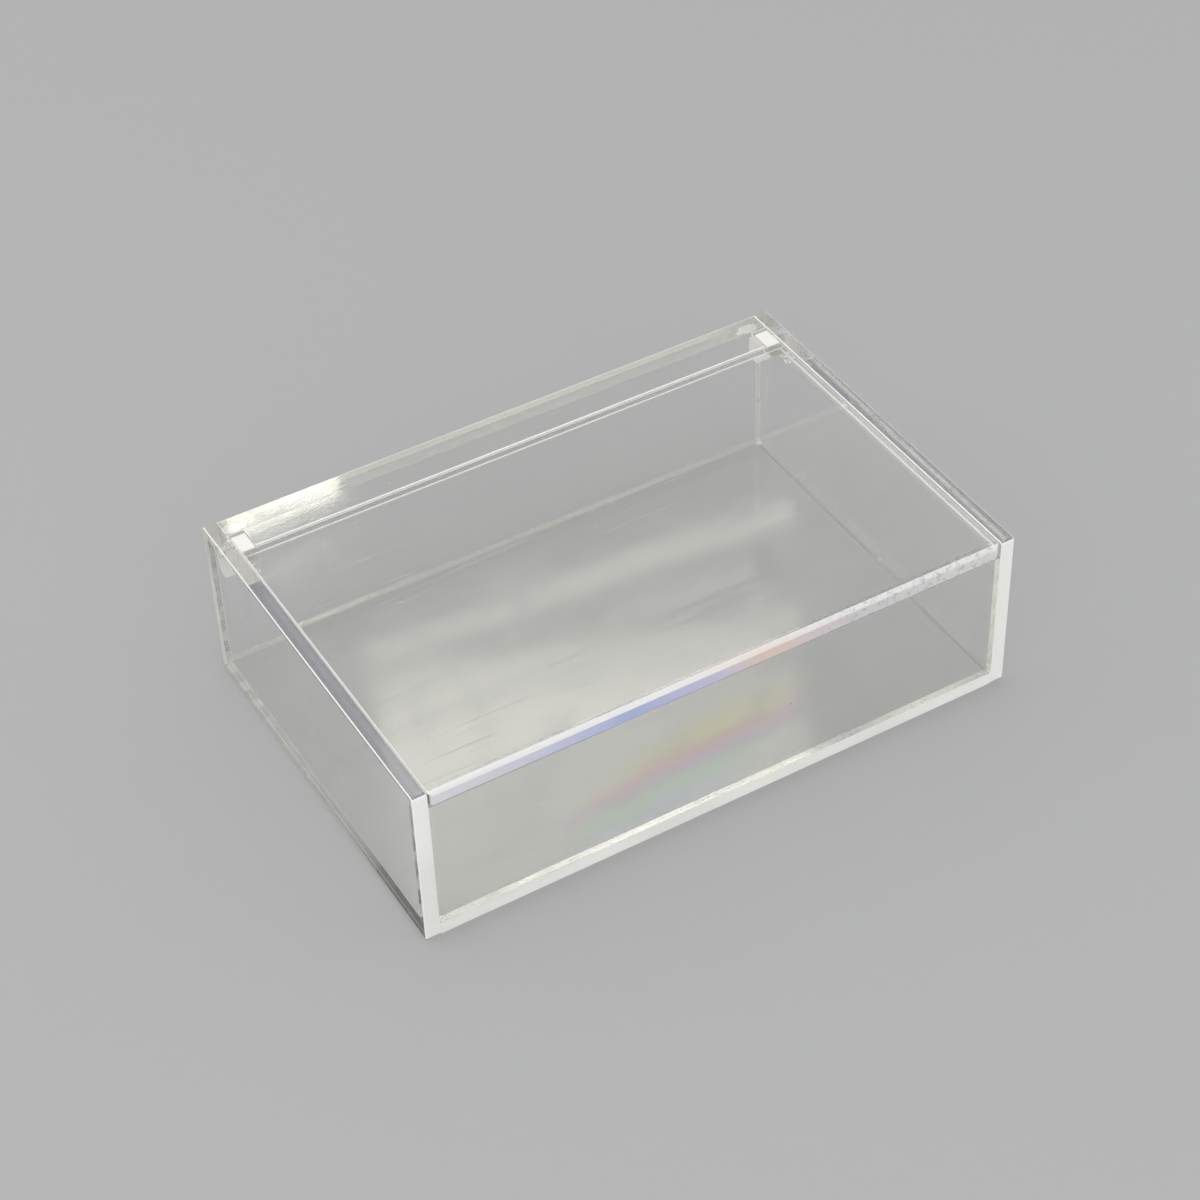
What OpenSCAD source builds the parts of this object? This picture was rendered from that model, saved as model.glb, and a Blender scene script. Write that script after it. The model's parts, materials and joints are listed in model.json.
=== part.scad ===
// Clear acrylic storage box with a hinged lid, cut from flat sheet and bonded at the edges.
// Sizes are in millimetres. The origin is the centre of the underside, +Z is up and the front
// faces -Y. The lid turns about a line along X, just in front of the back wall.

/* [Box] */
// Outside width, across both side walls
box_w = 127; // [80:1:220]
// Outside depth, from the front face to the rear face
box_d = 85; // [50:1:160]
// Outside height, from the underside to the top edge of the side walls
box_h = 36; // [24:1:90]
// Thickness of the acrylic sheet that every panel is cut from
sheet = 3; // [2:0.1:5]
// How far the side walls stand above the lid and the rear strip
wall_proud = 0.3; // [0:0.05:1]
// Radius on the corners of the side walls
wall_corner_r = 0.6; // [0.2:0.1:1.5]
// Bevel on the long outer edges of the base, the front wall and the rear strip
edge_bevel = 0.25; // [0.1:0.05:0.5]

/* [Lid] */
// Gap between each side of the lid and its side wall
side_gap = 0.2; // [0.1:0.05:0.6]
// Radius of the eased edge along the top of the lid's front
lid_nose_r = 0.8; // [0.3:0.1:1.4]
// Radius on the two front corners of the lid, seen from above
lid_corner_r = 1; // [0.4:0.1:3]
// Distance from the inside of the back wall to the lid's rear edge
hinge_room = 7.5; // [6.5:0.1:12]

/* [Hinge] */
// Distance from the lid's rear edge back to the pin's axis
pin_setback = 3.4; // [3:0.1:4.5]
// Least gap between the swinging lid and the front corner of the rear strip
swing_gap = 0.135; // [0.1:0.005:0.4]
// Length of the lug's top behind the lid's rear edge
lug_tail = 4.8; // [4.4:0.1:5.5]
// Length of lug bonded under the lid, in front of its rear edge
lug_foot = 1.9; // [1:0.1:6]
// How far the lug hangs below the underside of the lid
lug_drop = 5.3; // [4:0.1:9]
// Radius of the lug's rounded lower end
lug_end_r = 2.1; // [1.5:0.1:2.6]
// Gap between the lug and the inside of the back wall
lug_wall_gap = 0.6; // [0.4:0.1:1.5]
// Gap between the lug and the underside of the rear strip
lug_strip_gap = 0.5; // [0.3:0.1:1.5]
// Gap left behind the lug's turning corner, in the strip's notch
notch_swing_gap = 0.315; // [0.2:0.005:1]
// Gap beside the lug, in the strip's notch
notch_side_gap = 0.2; // [0.1:0.05:0.6]
// Diameter of the hinge pin
pin_d = 1.5; // [1:0.1:1.8]
// Radial clearance of the pin in the lug, where it turns
pin_running_gap = 0.05; // [0.02:0.01:0.1]
// Radial clearance of the pin in the side wall, where it is glued
pin_glue_gap = 0.02; // [0.01:0.01:0.05]
// How far the pin stops short of the lug's inner face
pin_end_gap = 0.15; // [0.05:0.05:0.5]

/* [Hidden] */
$fn = 48;
eps = 0.01;

acrylic = [0.86, 0.9, 0.92, 0.35];
acrylic_lid = [0.8, 0.86, 0.9, 0.35];
acrylic_hinge = [0.93, 0.93, 0.88, 0.6];

// Levels and widths that several panels share
inner_w = box_w - 2 * sheet;
wall_inner_x = inner_w / 2;
lid_w = inner_w - 2 * side_gap;
lid_top = box_h - wall_proud;
lid_under = lid_top - sheet;
wall_h = lid_under - sheet;

// Depths measured forward from the rear face
back_wall_u = sheet;
lid_rear_u = back_wall_u + hinge_room;
pin_u = lid_rear_u - pin_setback;
lug_tail_u = lid_rear_u - lug_tail;
lug_rear_u = back_wall_u + lug_wall_gap;
lug_front_u = lid_rear_u + lug_foot;

// The strip's front corner stays clear of the lid's rear edge as it turns about the pin
pin_drop = sheet / 2;
strip_reach = pin_setback - swing_gap;
strip_u = pin_u + sqrt(strip_reach * strip_reach - pin_drop * pin_drop);

// The notch clears the lug's rear top corner, which turns about the pin too
tail_swing_r = norm([lug_tail - pin_setback, pin_drop]);
notch_u = pin_u - tail_swing_r - notch_swing_gap;
notch_w = side_gap + sheet + notch_side_gap;

// Centre of the lug's rounded end, and the direction from it in which the lug's sloping front
// meets the round as a tangent. The round then runs on to the lug's upright rear.
end_u = lug_rear_u + lug_end_r;
end_v = -sheet - lug_drop + lug_end_r;
slope_run = [lug_front_u - end_u, -sheet - end_v];
slope_angle = atan2(slope_run[1], slope_run[0]) - acos(lug_end_r / norm(slope_run));
rear_angle = -180;
end_steps = 24;

// Opening angles, in degrees, at which the lug's top lands on the rear edge of its notch, and at
// which the lid's rear corner would land on the strip. The lid stops at the smaller one.
notch_stop = 2 * atan((pin_u - notch_u) / pin_drop);
strip_stop = 180 - 2 * atan(pin_drop / pin_setback);
echo(open_stop = min(notch_stop, strip_stop), gap_behind_lid = lid_rear_u - strip_u);

// A rectangle from the origin with all four corners rounded
module rounded_rect(w, h, r) {
    translate([r, 0]) square([w - 2 * r, h]);
    translate([0, r]) square([w, h - 2 * r]);
    for (x = [r, w - r], y = [r, h - r]) translate([x, y]) circle(r);
}

// Carries a side view, drawn as depth from the rear face and height from the lid's top, to its
// place: it is extruded towards +X from x0
module from_side_view(x0, length) {
    translate([x0, box_d / 2, lid_top])
        rotate([90, 0, 90])
            mirror([1, 0, 0])
                linear_extrude(length) children();
}

// A horizontal or upright panel between the side walls, with the named long edges bevelled.
// The corners are given as depth and height signs, such as [[-1, -1], [-1, 1]].
module bevelled_panel(depth, height, bevelled) {
    difference() {
        translate([-inner_w / 2, 0, 0]) cube([inner_w, depth, height]);
        for (corner = bevelled)
            translate([0, (corner[0] + 1) / 2 * depth, (corner[1] + 1) / 2 * height])
                rotate([45, 0, 0])
                    cube([inner_w + 2, edge_bevel * sqrt(2), edge_bevel * sqrt(2)], center = true);
    }
}

// The panel that everything stands on, set between the side walls
module base_panel() {
    color(acrylic)
        translate([0, -box_d / 2, 0]) bevelled_panel(box_d, sheet, [[-1, -1], [1, -1]]);
}

// Stands on the base, and carries the lid's front on its top edge
module front_wall() {
    color(acrylic)
        translate([0, -box_d / 2, sheet]) bevelled_panel(sheet, wall_h, [[-1, 1]]);
}

// Stands on the base, under the rear strip
module back_wall() {
    color(acrylic)
        translate([0, box_d / 2 - sheet, sheet]) bevelled_panel(sheet, wall_h, []);
}

// A side wall at its place, with its drilled hole for the hinge pin
module side_wall(side) {
    color(acrylic)
        difference() {
            translate([side * (wall_inner_x + sheet / 2) - sheet / 2, -box_d / 2, 0])
                rotate([90, 0, 90])
                    linear_extrude(sheet) rounded_rect(box_d, box_h, wall_corner_r);
            hinge_cylinder(pin_d / 2 + pin_glue_gap, side, wall_inner_x - 1, box_w / 2 + 1);
        }
}

// A cylinder on the hinge axis, from one distance off the middle of the box to another
module hinge_cylinder(r, side, near_x, far_x) {
    translate([side * (near_x + far_x) / 2, box_d / 2 - pin_u, lid_top - pin_drop])
        rotate([0, 90, 0]) cylinder(r = r, h = far_x - near_x, center = true);
}

// Fixed strip over the back wall, notched at both ends so that the hinge lugs can turn
module rear_strip() {
    color(acrylic)
        difference() {
            translate([0, box_d / 2 - strip_u, lid_under])
                bevelled_panel(strip_u, sheet, [[1, 1]]);
            for (side = [-1, 1])
                translate([side * wall_inner_x - notch_w, box_d / 2 - strip_u - 1, lid_under - 1])
                    cube([2 * notch_w, strip_u - notch_u + 1, sheet + 2]);
        }
}

// Side view of the lid: its front top edge is eased to a round
module lid_side_view() {
    difference() {
        translate([lid_rear_u, -sheet]) square([box_d - lid_rear_u, sheet]);
        translate([box_d - lid_nose_r, -lid_nose_r]) square(lid_nose_r + 1);
    }
    translate([box_d - lid_nose_r, -lid_nose_r]) circle(lid_nose_r);
}

// The lid seen from above, with its two front corners rounded
module lid_plan() {
    translate([-lid_w / 2, -box_d / 2 + lid_corner_r])
        square([lid_w, box_d - lid_rear_u - lid_corner_r]);
    translate([-lid_w / 2 + lid_corner_r, -box_d / 2])
        square([lid_w - 2 * lid_corner_r, lid_corner_r + eps]);
    for (side = [-1, 1])
        translate([side * (lid_w / 2 - lid_corner_r), -box_d / 2 + lid_corner_r])
            circle(lid_corner_r);
}

// Flat lid between the side walls: its front rests on the front wall
module lid_panel() {
    color(acrylic_lid)
        intersection() {
            from_side_view(-box_w / 2, box_w) lid_side_view();
            translate([0, 0, lid_under - 1]) linear_extrude(sheet + 2) lid_plan();
        }
}

// Points along the lug's rounded end, from its sloping front to its upright rear
function lug_end_arc() = [
    for (i = [0:end_steps])
        let (a = slope_angle + (rear_angle - slope_angle) * i / end_steps)
            [end_u + lug_end_r * cos(a), end_v + lug_end_r * sin(a)]
];

// Side view of a hinge lug: a tail level with the lid, and a rounded end below the strip
module lug_side_view() {
    polygon(concat(
        [[lug_tail_u, 0], [lid_rear_u, 0], [lid_rear_u, -sheet], [lug_front_u, -sheet]],
        lug_end_arc(),
        [[lug_rear_u, -sheet - lug_strip_gap], [lug_tail_u, -sheet - lug_strip_gap]]
    ));
}

// A lug bonded to the lid's rear edge and underside, bored through for its pin
module hinge_lug(side) {
    color(acrylic_hinge)
        difference() {
            from_side_view(side * (lid_w - sheet) / 2 - sheet / 2, sheet) lug_side_view();
            hinge_cylinder(pin_d / 2 + pin_running_gap, side, lid_w / 2 - sheet - 1, box_w / 2);
        }
}

// A pin glued in the side wall, flush outside: the lug turns on its inner end
module hinge_pin(side) {
    color(acrylic_hinge)
        hinge_cylinder(pin_d / 2, side, lid_w / 2 - sheet + pin_end_gap, box_w / 2);
}

base_panel();
front_wall();
back_wall();
side_wall(-1);  // left_wall
side_wall(1);  // right_wall
rear_strip();
lid_panel();
hinge_lug(-1);  // left_hinge_lug
hinge_lug(1);  // right_hinge_lug
hinge_pin(-1);  // left_hinge_pin
hinge_pin(1);  // right_hinge_pin
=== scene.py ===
import json
import math
from collections import namedtuple
from functools import partial

import bpy
import numpy as np
from bpy.props import FloatProperty, FloatVectorProperty, IntProperty, PointerProperty
from mathutils import Matrix, Vector
from mathutils.geometry import tessellate_polygon


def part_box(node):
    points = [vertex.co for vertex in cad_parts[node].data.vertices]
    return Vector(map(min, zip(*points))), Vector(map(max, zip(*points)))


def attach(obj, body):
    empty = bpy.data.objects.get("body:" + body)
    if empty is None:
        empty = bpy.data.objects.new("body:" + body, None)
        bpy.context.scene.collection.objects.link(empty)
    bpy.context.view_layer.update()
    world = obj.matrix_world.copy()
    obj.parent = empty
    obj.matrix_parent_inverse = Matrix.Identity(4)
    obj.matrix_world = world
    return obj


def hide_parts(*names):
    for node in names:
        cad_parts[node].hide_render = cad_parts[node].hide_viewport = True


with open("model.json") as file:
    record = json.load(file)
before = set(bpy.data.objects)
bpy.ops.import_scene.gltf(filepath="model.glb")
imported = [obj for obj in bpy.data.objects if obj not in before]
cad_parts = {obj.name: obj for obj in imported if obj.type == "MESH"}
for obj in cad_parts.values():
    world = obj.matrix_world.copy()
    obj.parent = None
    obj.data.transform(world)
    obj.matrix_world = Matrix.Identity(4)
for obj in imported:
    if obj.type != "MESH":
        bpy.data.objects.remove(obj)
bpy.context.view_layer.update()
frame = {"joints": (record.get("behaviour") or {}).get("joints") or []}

bl_info = {
    "name": "Hinged Acrylic Box",
    "version": (1, 0, 0),
    "blender": (4, 5, 0),
    "location": "View3D > Sidebar > Acrylic Box",
    "description": "Dresses the frame of a clear acrylic box with its sheets, hinge and finishes",
    "category": "Add Mesh",
}

# The frame, in metres. Every sheet takes its place from the box of the node that it replaces.
MM = 0.001
HINGE_AXIS = np.array(frame["joints"][0]["pos_m"])
BOX = "box"
LID = "lid"


def corners_of(node):
    """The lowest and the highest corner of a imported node, as two arrays."""
    low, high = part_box(node)
    return np.array(low), np.array(high)


def number(name, text, default, **more):
    """A number that a user may change, such as a roughness or a share."""
    return FloatProperty(name=name, description=text, default=default, precision=4, **more)


def length(name, text, millimetres):
    """A length that a user may change, given in millimetres and kept in metres."""
    return number(name, text, millimetres * MM, unit="LENGTH", min=0.0)


def angle(name, text, degrees):
    """An angle that a user may change, given in degrees."""
    return number(name, text, math.radians(degrees), subtype="ANGLE")


def steps(name, text, default):
    """A count of faces that a user may change."""
    return IntProperty(name=name, description=text, default=default, min=2, max=256)


def colour(name, text, default):
    """A colour that a user may change."""
    return FloatVectorProperty(name=name, description=text, default=default, subtype="COLOR",
                               size=3, min=0.0, max=1.0)


class SheetSizes(bpy.types.PropertyGroup):
    """Sizes that all the sheets share."""
    eased: length("Eased edge", "Radius that a scraper leaves on an exposed edge", 0.2)
    joint_eased: length("Edge at a joint", "Radius left on an edge that is cemented", 0.06)
    foot_eased: length("Foot edge", "Radius left on the side walls' lower outer edge", 0.45)
    bevel: length("Bevel", "Bevel on the long outer edges", 0.25)
    weld: length("Weld", "How far a cemented end reaches into its neighbour, so that no air is "
                 "left between them", 0.02)
    rest_film: length("Air under the lid", "Air between the closed lid and the front wall", 0.03)
    wall_corner: length("Side corner", "Radius on the corners of the side walls", 0.6)
    lid_nose: length("Lid nose", "Radius along the top of the lid's front", 0.8)
    lid_corner: length("Lid corner", "Radius on the lid's front corners, from above", 1)
    arc_steps: steps("Arc steps", "Faces along a small rounded corner", 6)


class HingeSizes(bpy.types.PropertyGroup):
    """Sizes of the lugs, their notches and the pins."""
    tail: length("Lug tail", "Length of the lug's top behind the lid's rear edge", 4.8)
    end_radius: length("Lug end", "Radius of the lug's rounded lower end", 2.1)
    strip_gap: length("Gap under the strip", "Gap between the lug and the strip's underside", 0.5)
    notch_side: length("Gap beside the lug", "Gap beside the lug in its notch", 0.2)
    notch_rear: length("Gap behind the lug", "Gap behind the lug's turning corner", 0.315)
    pin_glue: length("Glued gap", "Radial gap round the pin in the side wall", 0.02)
    pin_running: length("Running gap", "Radial gap round the pin in the lug", 0.05)
    round_steps: steps("Round steps", "Faces round a pin or a bore", 64)


class AcrylicLook(bpy.types.PropertyGroup):
    """Colours and roughness of the acrylic's faces and edges."""
    sheet: colour("Sheet", "Tint of the clear sheet", (0.975, 0.98, 0.97))
    edge: colour("Sawn edge", "Colour of a sawn edge", (0.98, 0.98, 0.96))
    # Painted warm light: a cream copy of the sawn edge's colour, for the edges that face the warm
    # lamp at the rear.
    warm_edge: colour("Warm edge", "Colour of a sawn edge that faces the warm light",
                      (0.99, 0.97, 0.87))
    polished: colour("Polished edge", "Tint of the polished top edges", (0.87, 0.86, 0.93))
    hinge: colour("Hinge", "Colour of the lugs' sawn faces", (0.99, 0.985, 0.96))
    face_roughness: number("Face roughness", "Roughness of a clean face", 0.04)
    smudge_roughness: number("Smudge roughness", "Roughness where a face was handled", 0.14)
    smudge_film: number("Smudge film", "Weight of the film where a face was handled", 0.5)
    edge_roughness: number("Edge roughness", "Roughness of a sawn edge", 0.42)


class StageSettings(bpy.types.PropertyGroup):
    """The floor, the light and the camera."""
    floor: colour("Floor", "Colour of the floor", (0.45, 0.455, 0.465))
    backdrop: colour("Backdrop", "Colour behind and around the object", (0.5, 0.505, 0.515))
    ambient: number("Ambient light", "Strength of the light from all around", 0.73)
    front: number("Front light", "Power of the large lamp in front", 11.5, unit="POWER")
    fill: number("Fill light", "Power of the warm lamp at the rear left", 7.8, unit="POWER")
    side: number("Side light", "Power of the weak lamp on the right", 4.0, unit="POWER")
    strip: number("Strip light", "Power of the lamp that the rear strip mirrors", 0.13,
                  unit="POWER")
    base: number("Base light", "Power of the lamp that the base mirrors", 0.45, unit="POWER")
    band: number("Band light", "Power of the thin lamp that the base mirrors", 0.055,
                 unit="POWER")
    azimuth: angle("Azimuth", "Turn of the view from +Y towards +X", 29.149)
    elevation: angle("Elevation", "How far the camera looks down", 41.992)
    roll: angle("Roll", "How far the camera leans to its right", 2.222)
    distance: length("Distance", "From the camera to the point that it looks at", 547.17)
    aim: FloatVectorProperty(name="Aim", description="The point that the camera looks at",
                             default=(-1.0 * MM, 1.09 * MM, 18.52 * MM), subtype="XYZ",
                             unit="LENGTH", precision=5)
    lens: number("Lens", "Focal length in millimetres, for a sensor 36 mm wide", 85.53)


class AcrylicBoxSettings(bpy.types.PropertyGroup):
    """All the settings of the box."""
    sheets: PointerProperty(type=SheetSizes)
    hinge: PointerProperty(type=HingeSizes)
    look: PointerProperty(type=AcrylicLook)
    stage: PointerProperty(type=StageSettings)


# Surfaces

Outline = namedtuple("Outline", "points corner share")
Side = namedtuple("Side", "finish low high eased")
ALONG_X = np.array([[0, 1, 0], [0, 0, 1], [1, 0, 0]], float)
ALONG_Z = np.eye(3)
NEARLY_STRAIGHT = 0.25
SMALLEST_AREA = 1e-14


def rounded_outline(corners, radii, steps):
    """A closed outline, anticlockwise, whose corners are arcs.

    On the arc at a corner, a point is the arc's centre plus the radius times the outward normal
    of the side before it, turned by its share of the angle between the two sides. The centre
    lies behind the corner by the radius along both normals. A radius of 0 keeps the sharp
    corner. Each point has the number of its corner and its share of the turn, -1 where sharp.
    """
    corners = np.asarray(corners, float)
    radii = np.broadcast_to(np.asarray(radii, float), len(corners))
    after = side_normals(corners)
    before = np.roll(after, 1, 0)
    along = np.sum(before * after, 1)
    across = before[:, 0] * after[:, 1] - before[:, 1] * after[:, 0]
    turn = np.arctan2(across, along)
    reach = np.copysign(radii, turn)
    centre = corners - reach[:, None] * (before + after) / (1 + along)[:, None]
    part = np.linspace(0, 1, steps + 1)[None, :]
    turned_by = turn[:, None] * part
    cosine, sine = np.cos(turned_by), np.sin(turned_by)
    turned = np.stack([before[:, :1] * cosine - before[:, 1:] * sine,
                       before[:, :1] * sine + before[:, 1:] * cosine], 2)
    points = centre[:, None] + reach[:, None, None] * turned
    on_arc = np.broadcast_to(radii[:, None] > 0, turned_by.shape)
    keep = on_arc | (part == 0)
    corner = np.broadcast_to(np.arange(len(corners))[:, None], turned_by.shape)
    return Outline(points[keep], corner[keep], np.where(on_arc, part, -1.0)[keep])


def side_normals(points):
    """The outward normal of the side that follows each point: its direction turned clockwise."""
    run = np.roll(points, -1, 0) - points
    run = run / np.linalg.norm(run, axis=1)[:, None]
    return np.stack([run[:, 1], -run[:, 0]], 1)


def beside_points(values, outline):
    """A value of the side before and of the side after each point. On an arc both go evenly
    from the one side's value to the other's."""
    values = np.asarray(values, float)
    before = values[outline.corner - 1]
    after = values[outline.corner]
    mixed = before + (after - before) * outline.share
    on_arc = outline.share >= 0
    return np.where(on_arc, mixed, before), np.where(on_arc, mixed, after)


def side_after_points(outline):
    """The number of the side that each stretch of the outline belongs to. An arc's first half
    belongs to the side before its corner, and its second half to the side after."""
    corner = outline.corner
    same = (np.roll(corner, -1) == corner) & (outline.share >= 0)
    middle = (outline.share + np.roll(outline.share, -1)) / 2
    return np.where(same & (middle < 0.5), corner - 1, corner)


def inward_moves(points, before, after):
    """How each point moves when the side before it goes in by one length and the side after it
    by another: to the crossing of the two moved sides or, where they are nearly in line, by the
    mean length along the mean normal."""
    normal = side_normals(points)
    last = np.roll(normal, 1, 0)
    across = last[:, 0] * normal[:, 1] - last[:, 1] * normal[:, 0]
    along = np.sum(last * normal, 1)
    straight = np.abs(across) < NEARLY_STRAIGHT
    crossing = np.stack([after * last[:, 1] - before * normal[:, 1],
                         before * normal[:, 0] - after * last[:, 0]], 1)
    crossing = crossing / np.where(straight, 1.0, across)[:, None]
    mean = -((before + after) / 2 / (1 + np.maximum(along, 0)))[:, None] * (last + normal)
    return np.where(straight[:, None], mean, crossing)


def sheet_surface(outline, low, high, sides, ease_steps):
    """The points of a sheet, as a grid of rings over the outline.

    Going from the low face to the high face, each ring is the outline moved in by the eased
    radius times one minus the cosine of an angle, at a depth of the radius times one minus the
    sine below its face. The angle runs from a right angle at the low face to nothing at the
    side, and back to a right angle at the high face.
    """
    turn = np.linspace(0, math.pi / 2, ease_steps + 1)
    inward, down = (1 - np.cos(turn))[:, None], (1 - np.sin(turn))[:, None]
    halves = []
    for radii, level, sign in (([s.low for s in sides], low, 1),
                               ([s.high for s in sides], high, -1)):
        before, after = beside_points(radii, outline)
        moved = inward_moves(outline.points, before, after)
        across = outline.points[None] + inward[:, :, None] * moved[None]
        depth = level + sign * down * ((before + after) / 2)[None]
        halves.append(np.concatenate([across, depth[:, :, None]], 2))
    return np.concatenate([halves[0][::-1], halves[1]])


def ring_faces(rings, count, first=0):
    """Four-sided faces between neighbouring rings of a closed grid, as rows of point numbers."""
    ring, point = np.meshgrid(np.arange(rings - 1), np.arange(count), indexing="ij")
    following = (point + 1) % count
    faces = np.stack([ring * count + point, ring * count + following,
                      (ring + 1) * count + following, (ring + 1) * count + point], 2)
    return faces.reshape(-1, 4) + first


def cap_faces(loops, numbers, facing):
    """Triangles that fill a flat outline, less its holes, turned so that they face one way."""
    flat = np.concatenate(loops)
    vectors = [[Vector((x, y, 0)) for x, y in loop] for loop in loops]
    triangles = np.array(tessellate_polygon(vectors))
    a, b, c = (flat[triangles[:, k]] for k in range(3))
    area = (b - a)[:, 0] * (c - a)[:, 1] - (b - a)[:, 1] * (c - a)[:, 0]
    real = np.abs(area) > SMALLEST_AREA
    triangles, area = triangles[real], area[real]
    wrong = area * facing < 0
    triangles[wrong] = triangles[wrong][:, ::-1]
    return np.concatenate(numbers)[triangles]


def circle(centre, radius, count):
    """Points on a circle, anticlockwise."""
    turn = np.linspace(0, 2 * math.pi, count, endpoint=False)
    return np.asarray(centre) + radius * np.stack([np.cos(turn), np.sin(turn)], 1)


def cut_sheet(name, node, outline, low, high, sides, face, body=BOX,
              axes=ALONG_X, bore=None, ease_steps=3):
    """Makes one piece from its outline and its two end levels, and puts it in a node's place.

    face is the finish at both levels. axes holds the directions of the outline's two
    coordinates and of the thickness. bore is the centre, radius and point count of a round hole
    from face to face.
    """
    rings = sheet_surface(outline, low, high, sides, ease_steps)
    rows, count = rings.shape[:2]
    points = rings.reshape(-1, 3)
    quads = ring_faces(rows, count)
    names = [sides[side].finish if row == ease_steps else sides[side].eased
             for row in range(rows - 1) for side in side_after_points(outline)]
    low_loops, high_loops = [rings[0, :, :2]], [rings[-1, :, :2]]
    low_numbers = [np.arange(count)]
    high_numbers = [np.arange(count) + (rows - 1) * count]
    if bore:
        around = circle(*bore)
        start = len(points)
        tube = np.concatenate([np.column_stack([around, np.full(len(around), level)])
                               for level in (low, high)])
        points = np.concatenate([points, tube])
        quads = np.concatenate([quads, ring_faces(2, len(around), start)[:, ::-1]])
        names += ["drilled"] * len(around)
        low_loops.append(around)
        high_loops.append(around)
        low_numbers.append(np.arange(len(around)) + start)
        high_numbers.append(np.arange(len(around)) + start + len(around))
    low_cap = cap_faces(low_loops, low_numbers, -1)
    high_cap = cap_faces(high_loops, high_numbers, 1)
    faces = quads.tolist() + low_cap.tolist() + high_cap.tolist()
    names += [face] * (len(low_cap) + len(high_cap))
    piece = piece_from(name, points @ axes, faces, names, body)
    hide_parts(node)


def piece_from(name, points, faces, finishes, body):
    """A mesh piece with one finish name for each face, riding on a body."""
    piece = linked_mesh(name, points, faces)
    used = sorted(set(finishes))
    for finish in used:
        piece.data.materials.append(acrylic(finish))
    piece.data.polygons.foreach_set("material_index", [used.index(f) for f in finishes])
    piece.data.update()
    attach(piece, body)
    return piece


def linked_mesh(name, points, faces):
    """A mesh object in the scene, from its points and its faces."""
    mesh = bpy.data.meshes.new(name)
    mesh.from_pydata(points.tolist(), [], faces)
    made = bpy.data.objects.new(name, mesh)
    bpy.context.scene.collection.objects.link(made)
    return made


# Node helpers

def place(tree, kind, settings=None, **inputs):
    """Adds a node, sets its own settings and then its inputs, which may be values or sockets."""
    made = tree.nodes.new(kind)
    for key, value in (settings or {}).items():
        setattr(made, key, value)
    for key, value in inputs.items():
        feed(tree, made.inputs[key.replace("_", " ")], value)
    return made


def feed(tree, socket, value):
    """Links a socket to another one, or sets its value."""
    if isinstance(value, bpy.types.NodeSocket):
        tree.links.new(value, socket)
    elif hasattr(value, "__len__") and len(value) == 3 and len(socket.default_value) == 4:
        socket.default_value = (*value, 1.0)
    else:
        socket.default_value = value


def maths(tree, operation, *values, clamp=False):
    """A Math node's result."""
    made = place(tree, "ShaderNodeMath", {"operation": operation, "use_clamp": clamp})
    for socket, value in zip(made.inputs, values):
        feed(tree, socket, value)
    return made.outputs[0]


def ramp_between(tree, value, start, end, low=0.0, high=1.0, kind="SMOOTHSTEP"):
    """A value carried from one range to another, smoothly unless told otherwise."""
    made = place(tree, "ShaderNodeMapRange", {"interpolation_type": kind}, Value=value,
                 From_Min=start, From_Max=end, To_Min=low, To_Max=high)
    return made.outputs["Result"]


def noise(tree, spot, scale, detail=2.0, roughness=0.5, distortion=0.0):
    """A noise pattern's value, between 0 and 1."""
    return place(tree, "ShaderNodeTexNoise", Vector=spot, Scale=scale, Detail=detail,
                 Roughness=roughness, Distortion=distortion).outputs[0]


def object_spot(tree):
    """The place on the object, in metres."""
    return place(tree, "ShaderNodeTexCoord").outputs["Object"]


def colour_between(tree, part, first, second):
    """A colour that goes from the first to the second as the part goes from 0 to 1."""
    made = place(tree, "ShaderNodeMix", {"data_type": "RGBA"})
    for index, value in ((0, part), (6, first), (7, second)):
        feed(tree, made.inputs[index], value)
    return made.outputs[2]


def colour_stops(tree, value, stops):
    """A Color Ramp's colour, from its stops' places and colours."""
    made = place(tree, "ShaderNodeValToRGB", Fac=value)
    elements = made.color_ramp.elements
    while len(elements) < len(stops):
        elements.new(1.0)
    for element, (where, what) in zip(elements, stops):
        element.position = where
        element.color = (*what, 1.0)
    return made.outputs[0]


def relief(tree, height, strength=1.0):
    """A Bump node's normal, from a height in millimetres."""
    return place(tree, "ShaderNodeBump", Height=height, Strength=strength,
                 Distance=MM).outputs[0]


# Effects that several finishes share. Their heights are in millimetres.

def new_group(name, **inputs):
    """A shader node group with named numbers as inputs. Returns it with their sockets."""
    group = bpy.data.node_groups.new(name, "ShaderNodeTree")
    for title, default in inputs.items():
        socket = group.interface.new_socket(title.replace("_", " "), in_out="INPUT",
                                            socket_type="NodeSocketFloat")
        socket.default_value = default
    return group, group.nodes.new("NodeGroupInput").outputs


def close_group(group, **outputs):
    """Gives a group its named numbers as outputs."""
    for title in outputs:
        group.interface.new_socket(title, in_out="OUTPUT", socket_type="NodeSocketFloat")
    place(group, "NodeGroupOutput", **outputs)
    return group


def use_group(tree, maker, **inputs):
    """Places a shared group in a material, and makes the group the first time. Returns its
    output sockets."""
    group = bpy.data.node_groups.get(maker.__name__) or maker()
    return place(tree, "ShaderNodeGroup", {"node_tree": group}, **inputs).outputs


def streaks(tree, spot, turn, along, across, thin):
    """Hairlines in one direction: noise that is stretched along them, kept near its peaks."""
    mapped = place(tree, "ShaderNodeMapping", Vector=spot, Rotation=turn,
                   Scale=(along, across, across))
    return ramp_between(tree, noise(tree, mapped.outputs[0], 1.0, 1.0), thin, thin + 0.03)


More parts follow.
